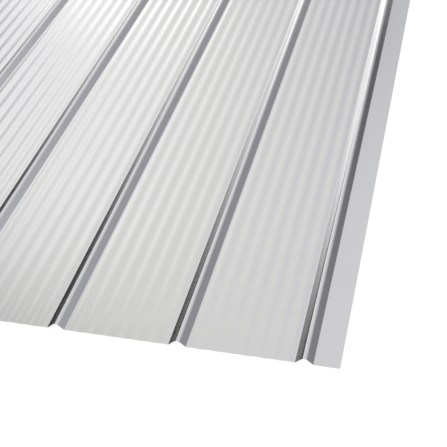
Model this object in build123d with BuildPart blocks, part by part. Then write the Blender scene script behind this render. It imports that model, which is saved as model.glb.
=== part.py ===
from build123d import *

import math
import os

# Ribbed and corrugated roofing sheet: one piece of thin coated steel, roll-formed. Low ribs run
# its whole length at an even pitch, the pans between them carry fine, shallow waves, and a plain
# flat margin outside the two outermost ribs serves the side lap.
# X runs across the sheet, Y along the ribs and Z up. The origin is on the floor, under the
# middle of the sheet. Sizes are in millimetres, and those of the section are on its underside.

# Sheet
SHEET_LENGTH = 2000.0
SHEET_THICKNESS = 0.5

# Ribs: the base is measured between the outer ends of the bends at the feet
RIB_COUNT = 6
RIB_PITCH = 200.0
RIB_BASE_WIDTH = 30.0
RIB_HEIGHT = 10.0
FOOT_BEND_RADIUS = 3.0
CREST_BEND_RADIUS = 7.0

# Waves: a crest stands at each equal share of the rib pitch, and the rib takes one share
WAVES_PER_PAN = 7
WAVE_HEIGHT = 0.6

# Margin: from the middle of the outermost rib to the cut edge
MARGIN_WIDTH = 55.0

WAVE_PITCH = RIB_PITCH / (WAVES_PER_PAN + 1)
SHEET_WIDTH = (RIB_COUNT - 1) * RIB_PITCH + 2 * MARGIN_WIDTH


def rib_steps():
    """One rib, as bends and flats from its left foot to its right one."""
    # A flank's flat is tangent to the bends at its foot and crest, whose centres lie this far apart
    run = RIB_BASE_WIDTH / 2
    radii = FOOT_BEND_RADIUS + CREST_BEND_RADIUS
    rise = RIB_HEIGHT - radii
    apart = math.hypot(run, rise)
    slope = math.degrees(math.asin(radii / apart) + math.atan2(rise, run))
    foot = ("bend", FOOT_BEND_RADIUS, slope)
    flank = ("flat", math.sqrt(apart**2 - radii**2))
    half_crest = ("bend", CREST_BEND_RADIUS, -slope)
    return [foot, flank, half_crest, half_crest, flank, foot]


def half_wave(run, way):
    """Two equal bends that climb a wave's height, or fall by it where way is -1."""
    turn = 2 * math.atan(WAVE_HEIGHT / run)
    radius = run / (2 * math.sin(turn))
    angle = math.degrees(turn)
    return [("bend", radius, way * angle), ("bend", radius, -way * angle)]


def pan_steps():
    """One pan: whole waves, with the outermost ones cut short by the ribs' feet."""
    end_run = WAVE_PITCH - RIB_BASE_WIDTH / 2
    trough = half_wave(WAVE_PITCH / 2, -1) + half_wave(WAVE_PITCH / 2, 1)
    return half_wave(end_run, 1) + trough * (WAVES_PER_PAN - 1) + half_wave(end_run, -1)


def section_steps():
    """The whole section, from one cut side edge to the other."""
    margin = [("flat", MARGIN_WIDTH - RIB_BASE_WIDTH / 2)]
    return margin + rib_steps() + (pan_steps() + rib_steps()) * (RIB_COUNT - 1) + margin


# The section is drawn on the front end, whose plane faces -Y, and runs back from there
with BuildPart() as sheet:
    with BuildSketch(Plane.XZ.offset(SHEET_LENGTH / 2)):
        with BuildLine():
            place = Vector(-SHEET_WIDTH / 2, 0)
            heading = Vector(1, 0)
            for kind, size, *turn in section_steps():
                if kind == "flat":
                    step = Line(place, place + heading * size)
                else:
                    step = JernArc(place, heading, size, turn[0])
                place = step @ 1
                heading = step % 1
            offset(amount=SHEET_THICKNESS, side=Side.LEFT, closed=True)
        make_face()
    extrude(amount=-SHEET_LENGTH)

sheet.part.label = "sheet"

os.makedirs("parts", exist_ok=True)
export_step(sheet.part, "parts/sheet.step")
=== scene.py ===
import math

import bmesh
import bpy
from bpy.props import FloatProperty, FloatVectorProperty, IntProperty, PointerProperty
from mathutils import Matrix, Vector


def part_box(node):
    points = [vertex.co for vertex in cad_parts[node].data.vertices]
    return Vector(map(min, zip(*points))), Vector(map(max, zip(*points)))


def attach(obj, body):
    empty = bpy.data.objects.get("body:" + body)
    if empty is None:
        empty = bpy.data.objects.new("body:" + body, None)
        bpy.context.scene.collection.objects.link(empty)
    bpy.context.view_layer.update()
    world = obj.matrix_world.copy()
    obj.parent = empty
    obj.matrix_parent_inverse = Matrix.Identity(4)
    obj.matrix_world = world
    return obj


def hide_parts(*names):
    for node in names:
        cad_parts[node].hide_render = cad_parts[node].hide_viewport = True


# Ribbed and corrugated roofing sheet: one roll-formed piece of thin coated steel on a pale floor.
# The section runs across X, the ribs run along Y, and Z is up. Sizes are in metres.

bl_info = {
    "name": "Ribbed Roofing Sheet",
    "version": (1, 0, 0),
    "blender": (4, 5, 0),
    "location": "View3D > Sidebar > Sheet",
    "description": "Forms a ribbed and finely waved steel sheet and sets its stage",
    "category": "Object",
}

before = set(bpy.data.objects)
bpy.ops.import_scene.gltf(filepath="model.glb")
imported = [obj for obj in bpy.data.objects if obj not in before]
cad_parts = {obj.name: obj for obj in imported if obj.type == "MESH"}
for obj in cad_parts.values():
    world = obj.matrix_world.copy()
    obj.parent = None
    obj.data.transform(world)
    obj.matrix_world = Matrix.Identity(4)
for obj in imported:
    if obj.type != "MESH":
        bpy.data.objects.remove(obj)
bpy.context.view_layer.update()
SHEET_LOW, SHEET_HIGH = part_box("sheet")

# How close two places are to count as the same one
TOUCH = 0.00001
# Faces that meet at less than this angle are shaded as one smooth surface
SMOOTH_ANGLE = math.radians(30)

# The coating's broad clouds, to a metre, and how far clouds and crystals shift its gloss and tone
CLOUD_SCALE = 9.0
CLOUD_DETAIL = 4.0
CLOUD_GLOSS = 0.05
CLOUD_TONE = 0.02
CRYSTAL_GLOSS = 0.04
CRYSTAL_TONE = 0.03

# Levels of the studio's lamps, which add to its dome
STRIP_LEVEL = 0.80
LOW_LAMP_LEVEL = 1.8
HIGH_LAMP_LEVEL = 0.9
HIGH_GLOW_LEVEL = 0.07

# The share of the light that each darker part of the studio takes away
CURTAIN_SHARE = 0.99
RIGHT_SHARE = 0.187
LOW_SHARE = 0.52
CORNER_SHARE = 0.8
HIGH_SHARE = 0.97
HORIZON_SHARE = 0.45
# How far to the right the curtain's edge leans, for each degree that it climbs
CURTAIN_LEAN = 0.39

# The floor lies a little below the sheet, so that the two never share a plane
FLOOR_SIZE = 40
FLOOR_DROP = 0.0003
# Its paper takes the shadow, and a glow makes it read as white to the camera and in the steel
PAPER_TONE = 0.9
GLOW_LEVEL = 1.05
GLOW_SHARE = 0.85

# Width of the camera's film, in millimetres
FILM_WIDTH = 36


class SheetSizes(bpy.types.PropertyGroup):
    """Sizes of the sheet's section, on its underside, and of its mesh."""

    length: FloatProperty(
        name="Length", description="Length of the sheet along its ribs",
        default=SHEET_HIGH[1] - SHEET_LOW[1], unit="LENGTH")
    thickness: FloatProperty(
        name="Thickness", description="Thickness of the steel",
        default=0.0005, precision=4, unit="LENGTH")
    rib_count: IntProperty(
        name="Ribs", description="How many ribs the sheet has",
        default=6, min=2)
    rib_pitch: FloatProperty(
        name="Rib pitch", description="Distance from one rib's middle to the next",
        default=0.2, unit="LENGTH")
    rib_base: FloatProperty(
        name="Rib base", description="Width of a rib over the bends at its feet",
        default=0.030, unit="LENGTH")
    rib_height: FloatProperty(
        name="Rib height", description="Height of a rib above the pans",
        default=0.010, unit="LENGTH")
    foot_radius: FloatProperty(
        name="Foot radius", description="Radius of the bend at a rib's foot",
        default=0.003, unit="LENGTH")
    crest_radius: FloatProperty(
        name="Crest radius", description="Radius of a rib's rounded crest",
        default=0.007, unit="LENGTH")
    waves: IntProperty(
        name="Waves", description="How many fine waves a pan has",
        default=7, min=1)
    wave_height: FloatProperty(
        name="Wave height", description="Height of a fine wave",
        default=0.0006, precision=4, unit="LENGTH")
    margin: FloatProperty(
        name="Margin", description="From the outermost rib's middle to the side edge",
        default=0.055, unit="LENGTH")
    rows: IntProperty(
        name="Rows", description="Rows of faces along the sheet",
        default=40, min=1)
    bend_step: FloatProperty(
        name="Bend step", description="Largest turn from one face of a bend to the next",
        default=math.radians(12), subtype="ANGLE")


class FinishLooks(bpy.types.PropertyGroup):
    """Colours and gloss of the satin zinc-aluminium coating."""

    colour: FloatVectorProperty(
        name="Colour", description="Colour of the coating",
        default=(0.785, 0.785, 0.776), min=0, max=1, subtype="COLOR")
    roughness: FloatProperty(
        name="Roughness", description="Roughness of the coating",
        default=0.16, min=0, max=1, subtype="FACTOR")
    crystal: FloatProperty(
        name="Crystal", description="Size of a zinc crystal in the coating",
        default=0.0025, precision=4, unit="LENGTH")


class StageLooks(bpy.types.PropertyGroup):
    """The camera, the floor and the studio around the sheet."""

    camera_place: FloatVectorProperty(
        name="Camera place", description="Where the camera stands",
        default=(0.6575, -2.1253, 1.1342), subtype="TRANSLATION", unit="LENGTH")
    camera_heading: FloatProperty(
        name="Heading", description="Turn of the camera from the ribs' direction to the left",
        default=math.radians(13.82), subtype="ANGLE")
    camera_dip: FloatProperty(
        name="Dip", description="How far the camera looks down",
        default=math.radians(37.29), subtype="ANGLE")
    camera_roll: FloatProperty(
        name="Roll", description="Turn of the camera about its view",
        default=math.radians(-1.82), subtype="ANGLE")
    lens: FloatProperty(
        name="Lens", description="Focal length",
        default=83.93, unit="CAMERA")
    dome: FloatProperty(
        name="Dome", description="Level of the soft dome that the steel mirrors",
        default=0.805, min=0)
    room: FloatProperty(
        name="Room", description="Level of the plain light on the floor",
        default=0.915, min=0)
    cool_tint: FloatVectorProperty(
        name="Cool tint", description="Colour of the studio's right side and curtain",
        default=(0.93, 0.935, 1.0), min=0, max=1, subtype="COLOR")


class Wire:
    """A socket in a node tree. Arithmetic on it adds Math nodes."""

    def __init__(self, nodes, socket):
        self.nodes = nodes
        self.socket = socket

    def maths(self, operation, *values):
        node = self.nodes.add("ShaderNodeMath", {"operation": operation}, dict(enumerate(values)))
        return Wire(self.nodes, node.outputs[0])

    def __add__(self, other):
        return self.maths("ADD", self, other)

    def __radd__(self, other):
        return self.maths("ADD", other, self)

    def __sub__(self, other):
        return self.maths("SUBTRACT", self, other)

    def __rsub__(self, other):
        return self.maths("SUBTRACT", other, self)

    def __mul__(self, other):
        return self.maths("MULTIPLY", self, other)

    def __rmul__(self, other):
        return self.maths("MULTIPLY", other, self)

    def exponential(self):
        return self.maths("EXPONENT", self)

    def arcsine(self):
        return self.maths("ARCSINE", self)

    def arctangent(self, other):
        """The angle, all round the circle, whose tangent is this value over the other."""
        return self.maths("ARCTAN2", self, other)

    def past(self, place, softness):
        """For an angle: 0 below a place and 1 above it, in degrees, over a soft edge."""
        low = math.radians(place - softness / 2)
        high = math.radians(place + softness / 2)
        step = self.nodes.add("ShaderNodeMapRange", {"interpolation_type": "SMOOTHSTEP"},
                              {"Value": self, "From Min": low, "From Max": high})
        return self.nodes.wire(step, "Result")

    def short_of(self, place, softness):
        """For an angle: 1 below a place and 0 above it, in degrees, over a soft edge."""
        return 1.0 - self.past(place, softness)


class Nodes:
    """The node tree of a material or of the world, emptied first."""

    def __init__(self, owner):
        owner.use_nodes = True
        self.tree = owner.node_tree
        self.tree.nodes.clear()

    def add(self, kind, settings=None, sockets=None):
        """Adds a node, makes its settings, and then fills or links its sockets."""
        node = self.tree.nodes.new(kind)
        for name, value in (settings or {}).items():
            setattr(node, name, value)
        for name, value in (sockets or {}).items():
            if isinstance(value, Wire):
                self.tree.links.new(value.socket, node.inputs[name])
            else:
                node.inputs[name].default_value = value
        return node

    def wire(self, node, output):
        return Wire(self, node.outputs[output])


def start_fresh():
    """Leaves edit mode and selects nothing, so that an operator acts on its own piece alone."""
    if bpy.context.mode != "OBJECT":
        bpy.ops.object.mode_set(mode="OBJECT")
    bpy.ops.object.select_all(action="DESELECT")


def choose(piece, kind, wanted):
    """Selects, in edit mode, the edges or faces all of whose corners pass the test, and nothing else."""
    bpy.ops.mesh.select_all(action="DESELECT")
    bpy.ops.mesh.select_mode(type=kind)
    mesh = bmesh.from_edit_mesh(piece.data)
    for part in mesh.edges if kind == "EDGE" else mesh.faces:
        if all(wanted(corner.co) for corner in part.verts):
            part.select_set(True)
    bmesh.update_edit_mesh(piece.data)


def rib_steps(sizes):
    """One rib from its left foot to its right one: (length, 0) is a flat, (radius, turn) a bend."""
    run = sizes.rib_base / 2
    radii = sizes.foot_radius + sizes.crest_radius
    rise = sizes.rib_height - radii
    apart = math.hypot(run, rise)
    slope = math.asin(radii / apart) + math.atan2(rise, run)
    foot = (sizes.foot_radius, slope)
    flank = (math.sqrt(apart**2 - radii**2), 0)
    half_crest = (sizes.crest_radius, -slope)
    return [foot, flank, half_crest, half_crest, flank, foot]


def half_wave(sizes, run, way):
    """Two equal bends that climb a wave's height, or fall by it where way is -1."""
    turn = 2 * math.atan(sizes.wave_height / run)
    radius = run / (2 * math.sin(turn))
    return [(radius, way * turn), (radius, -way * turn)]


def pan_steps(sizes):
    """One pan: whole waves, with the outermost ones cut short by the ribs' feet."""
    wave_pitch = sizes.rib_pitch / (sizes.waves + 1)
    end_run = wave_pitch - sizes.rib_base / 2
    trough = half_wave(sizes, wave_pitch / 2, -1) + half_wave(sizes, wave_pitch / 2, 1)
    return half_wave(sizes, end_run, 1) + trough * (sizes.waves - 1) + half_wave(sizes, end_run, -1)


def moves_along(steps, bend_step):
    """The short straight moves, across and up, that follow the flats and bends."""
    heading = 0.0
    moves = []
    for size, turn in steps:
        parts = max(2, math.ceil(abs(turn) / bend_step)) if turn else 1
        share = turn / parts
        length = 2 * size * math.sin(abs(share) / 2) if turn else size
        for _ in range(parts):
            way = heading + share / 2
            moves.append((length * math.cos(way), 0, length * math.sin(way)))
            heading += share
    return moves


def extrude_along(moves):
    """Extrudes the selected edges by each move in turn."""
    for move in moves:
        bpy.ops.mesh.extrude_edges_move(TRANSFORM_OT_translate={"value": move})


def coated_steel(looks):
    """Satin zinc-aluminium coating, with its fine crystals."""
    material = bpy.data.materials.new("coated_steel")
    nodes = Nodes(material)
    place = nodes.wire(nodes.add("ShaderNodeTexCoord"), "Object")
    crystals = nodes.add("ShaderNodeTexVoronoi", {"feature": "F1"},
                         {"Vector": place, "Scale": 1 / looks.crystal})
    greys = nodes.add("ShaderNodeSeparateColor", None, {"Color": nodes.wire(crystals, "Color")})
    clouds = nodes.add("ShaderNodeTexNoise", None,
                       {"Vector": place, "Scale": CLOUD_SCALE, "Detail": CLOUD_DETAIL})
    # Each varies about its middle, 0.5
    crystal = nodes.wire(greys, "Red") - 0.5
    cloud = nodes.wire(clouds, "Fac") - 0.5
    roughness = looks.roughness + crystal * CRYSTAL_GLOSS + cloud * CLOUD_GLOSS
    level = 1.0 + crystal * CRYSTAL_TONE + cloud * CLOUD_TONE
    tint = nodes.add("ShaderNodeVectorMath", {"operation": "SCALE"},
                     {"Vector": tuple(looks.colour), "Scale": level})
    surface = nodes.add("ShaderNodeBsdfPrincipled", None,
                        {"Base Color": nodes.wire(tint, "Vector"), "Metallic": 1.0,
                         "Roughness": roughness})
    nodes.add("ShaderNodeOutputMaterial", None, {"Surface": nodes.wire(surface, "BSDF")})
    return material


def towards(azimuth, elevation):
    """Direction in degrees: azimuth from +Y to +X, elevation above the horizon."""
    azimuth = math.radians(azimuth)
    elevation = math.radians(elevation)
    flat = math.cos(elevation)
    return (flat * math.sin(azimuth), flat * math.cos(azimuth), math.sin(elevation))


def patch(nodes, way, azimuth, elevation, width):
    """A soft round patch of the studio: 1 in its middle, and fading over its width in degrees."""
    dot = nodes.wire(nodes.add("ShaderNodeVectorMath", {"operation": "DOT_PRODUCT"},
                               {0: way, 1: towards(azimuth, elevation)}), "Value")
    return ((dot - 1.0) * (1 / math.radians(width) ** 2)).exponential()


def studio(looks):
    """A soft dome that the steel mirrors, with lamps behind on the left and darker parts."""
    world = bpy.data.worlds.new("studio")
    bpy.context.scene.world = world
    nodes = Nodes(world)
    way = nodes.wire(nodes.add("ShaderNodeTexCoord"), "Generated")
    parts = nodes.add("ShaderNodeSeparateXYZ", None, {"Vector": way})
    across, ahead, up = (nodes.wire(parts, axis) for axis in "XYZ")
    azimuth = across.arctangent(ahead)
    elevation = up.arcsine()
    path = nodes.add("ShaderNodeLightPath")
    camera = nodes.wire(path, "Is Camera Ray")
    glossy = nodes.wire(path, "Is Glossy Ray")

    # The first is 1 up to where the right side ends, the second is 1 ahead of the camera alone
    right_end = azimuth.short_of(60, softness=20)
    front = azimuth.past(-64, softness=12) * right_end

    # Lamps: an upright strip behind on the left, a low and a high lamp, and a faint glow by them
    strip_across = azimuth.past(-26.2, softness=3.5) * azimuth.short_of(-16.7, softness=3.5)
    strip_upward = elevation.past(-30, softness=3.5) * elevation.short_of(23.5, softness=3.5)
    strip = STRIP_LEVEL * strip_across * strip_upward
    low_lamp = LOW_LAMP_LEVEL * patch(nodes, way, azimuth=-37.6, elevation=-1.3, width=6)
    high_lamp = HIGH_LAMP_LEVEL * patch(nodes, way, azimuth=-31, elevation=26.5, width=6.4)
    high_glow = HIGH_GLOW_LEVEL * patch(nodes, way, azimuth=-25, elevation=28.5, width=7)
    lit = looks.dome + strip + low_lamp + high_lamp + high_glow

    # A dark curtain on the left, whose right edge leans, and whose top is soft
    curtain = CURTAIN_SHARE * azimuth.past(-54, softness=8)
    curtain = curtain * (azimuth - elevation * CURTAIN_LEAN).short_of(-36.6, softness=25.2)
    curtain = curtain * elevation.short_of(30, softness=16)

    # Dimmer parts: the right side, all that is low there, its low corner, a patch high on the
    # left, and the horizon beside and behind the camera
    right_dim = RIGHT_SHARE * azimuth.past(29.8, softness=39.9) * right_end
    low_dim = LOW_SHARE * azimuth.past(-2, softness=27) * elevation.short_of(28.5, softness=22)
    corner_dim = CORNER_SHARE * azimuth.past(24, softness=5) * elevation.short_of(11.2, softness=5)
    high_dim = HIGH_SHARE * patch(nodes, way, azimuth=-41, elevation=47, width=6.6)
    horizon_dim = HORIZON_SHARE * (1.0 - front) * elevation.short_of(14, softness=28)
    seen = lit * (1.0 - curtain)
    for dim in (right_dim, low_dim * right_end, corner_dim * right_end, high_dim, horizon_dim):
        seen = seen * (1.0 - dim)

    # The camera sees white, the steel sees the studio, and the floor gets the room's plain light
    cool = (azimuth.past(-5, softness=12) * right_end + curtain) * glossy
    level = camera + (1.0 - camera) * (glossy * seen + (1.0 - glossy) * looks.room)
    tint = nodes.add("ShaderNodeMix", {"data_type": "RGBA"},
                     {"Factor": cool, "A": (1, 1, 1, 1), "B": (*looks.cool_tint, 1)})
    sky = nodes.add("ShaderNodeBackground", None,
                    {"Color": nodes.wire(tint, "Result"), "Strength": level})
    nodes.add("ShaderNodeOutputWorld", None, {"Surface": nodes.wire(sky, "Background")})


def pale_floor():
    """A floor that reads as white and still takes the sheet's shadow."""
    material = bpy.data.materials.new("pale_floor")
    nodes = Nodes(material)
    paper = nodes.add("ShaderNodeBsdfDiffuse", None, {"Color": (PAPER_TONE, PAPER_TONE, PAPER_TONE, 1)})
    glow = nodes.add("ShaderNodeEmission", None, {"Color": (1, 1, 1, 1), "Strength": GLOW_LEVEL})
    path = nodes.add("ShaderNodeLightPath")
    seen = nodes.wire(path, "Is Camera Ray") + nodes.wire(path, "Is Glossy Ray")
    mix = nodes.add("ShaderNodeMixShader", None,
                    {"Fac": seen * GLOW_SHARE,
                     1: nodes.wire(paper, "BSDF"), 2: nodes.wire(glow, "Emission")})
    nodes.add("ShaderNodeOutputMaterial", None, {"Surface": nodes.wire(mix, "Shader")})
    return material


class SHEET_OT_form(bpy.types.Operator):
    """Form the ribbed sheet from a flat strip, one bend after the other"""

    bl_idname = "sheet.form"
    bl_label = "Form Sheet"

    def execute(self, context):
        sizes = context.scene.sheet_sizes
        half_width = (sizes.rib_count - 1) * sizes.rib_pitch / 2 + sizes.margin
        margin_flat = sizes.margin - sizes.rib_base / 2
        first_foot = margin_flat - half_width
        start_fresh()
        bpy.ops.mesh.primitive_grid_add(x_subdivisions=1, y_subdivisions=sizes.rows, size=1)
        piece = context.object
        piece.name = "ribbed_sheet"
        piece.data.name = "ribbed_sheet"
        bpy.ops.object.mode_set(mode="EDIT")
        bpy.ops.mesh.select_all(action="SELECT")
        bpy.ops.transform.resize(value=(margin_flat, sizes.length, 1))
        bpy.ops.transform.translate(value=(first_foot - margin_flat / 2, 0, 0))
        # The first rib and pan grow from the left margin, and are then copied across
        rib = moves_along(rib_steps(sizes), sizes.bend_step)
        pan = moves_along(pan_steps(sizes), sizes.bend_step)
        choose(piece, "EDGE", lambda place: place.x > first_foot - TOUCH)
        extrude_along(rib + pan)
        choose(piece, "FACE", lambda place: place.x > first_foot - TOUCH)
        for _ in range(sizes.rib_count - 2):
            bpy.ops.mesh.duplicate_move(TRANSFORM_OT_translate={"value": (sizes.rib_pitch, 0, 0)})
        bpy.ops.mesh.select_all(action="SELECT")
        bpy.ops.mesh.remove_doubles(threshold=TOUCH)
        # The last rib and the right margin close the section
        last_foot = first_foot + (sizes.rib_count - 1) * sizes.rib_pitch
        choose(piece, "EDGE", lambda place: place.x > last_foot - TOUCH)
        extrude_along(rib + [(margin_flat, 0, 0)])
        bpy.ops.mesh.select_all(action="SELECT")
        bpy.ops.mesh.normals_make_consistent(inside=False)
        if bmesh.from_edit_mesh(piece.data).faces[:][0].normal.z < 0:
            bpy.ops.mesh.flip_normals()
        bpy.ops.object.mode_set(mode="OBJECT")
        wall = piece.modifiers.new("thickness", "SOLIDIFY")
        wall.thickness = sizes.thickness
        wall.offset = 1
        bpy.ops.object.modifier_apply(modifier=wall.name)
        bpy.ops.object.shade_smooth_by_angle(angle=SMOOTH_ANGLE)
        piece.data.materials.clear()
        piece.data.materials.append(coated_steel(context.scene.finish_looks))
        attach(piece, "root")
        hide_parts("sheet")
        return {"FINISHED"}


class STAGE_OT_set(bpy.types.Operator):
    """Lay the pale floor, light the studio and place the camera"""

    bl_idname = "stage.set"
    bl_label = "Set Stage"

    def execute(self, context):
        looks = context.scene.stage_looks
        start_fresh()
        bpy.ops.mesh.primitive_plane_add(size=FLOOR_SIZE, location=(0, 0, -FLOOR_DROP))
        floor = context.object
        floor.name = "floor"
        floor.data.materials.append(pale_floor())
        studio(looks)
        bpy.ops.object.camera_add(location=looks.camera_place)
        camera = context.object
        camera.data.lens = looks.lens
        camera.data.sensor_width = FILM_WIDTH
        turn = (Matrix.Rotation(looks.camera_heading, 4, "Z")
                @ Matrix.Rotation(math.pi / 2 - looks.camera_dip, 4, "X")
                @ Matrix.Rotation(looks.camera_roll, 4, "Z"))
        camera.matrix_world = Matrix.Translation(looks.camera_place) @ turn
        context.scene.camera = camera
        context.scene.view_settings.view_transform = "Standard"
        return {"FINISHED"}


class SHEET_PT_panel(bpy.types.Panel):
    """Steps and sizes of the sheet"""

    bl_label = "Ribbed Sheet"
    bl_idname = "SHEET_PT_panel"
    bl_space_type = "VIEW_3D"
    bl_region_type = "UI"
    bl_category = "Sheet"

    def draw(self, context):
        scene = context.scene
        for group, operator in ((scene.sheet_sizes, SHEET_OT_form), (scene.finish_looks, None),
                                (scene.stage_looks, STAGE_OT_set)):
            box = self.layout.box()
            for name in group.bl_rna.properties.keys():
                if name not in ("rna_type", "name"):
                    box.prop(group, name)
            if operator:
                box.operator(operator.bl_idname)


CLASSES = (SheetSizes, FinishLooks, StageLooks, SHEET_OT_form, STAGE_OT_set, SHEET_PT_panel)


def register():
    for cls in CLASSES:
        bpy.utils.register_class(cls)
    bpy.types.Scene.sheet_sizes = PointerProperty(type=SheetSizes)
    bpy.types.Scene.finish_looks = PointerProperty(type=FinishLooks)
    bpy.types.Scene.stage_looks = PointerProperty(type=StageLooks)


def unregister():
    del bpy.types.Scene.stage_looks
    del bpy.types.Scene.finish_looks
    del bpy.types.Scene.sheet_sizes
    for cls in reversed(CLASSES):
        bpy.utils.unregister_class(cls)


def main():
    register()
    bpy.ops.sheet.form()
    bpy.ops.stage.set()


if __name__ == "__main__":
    main()
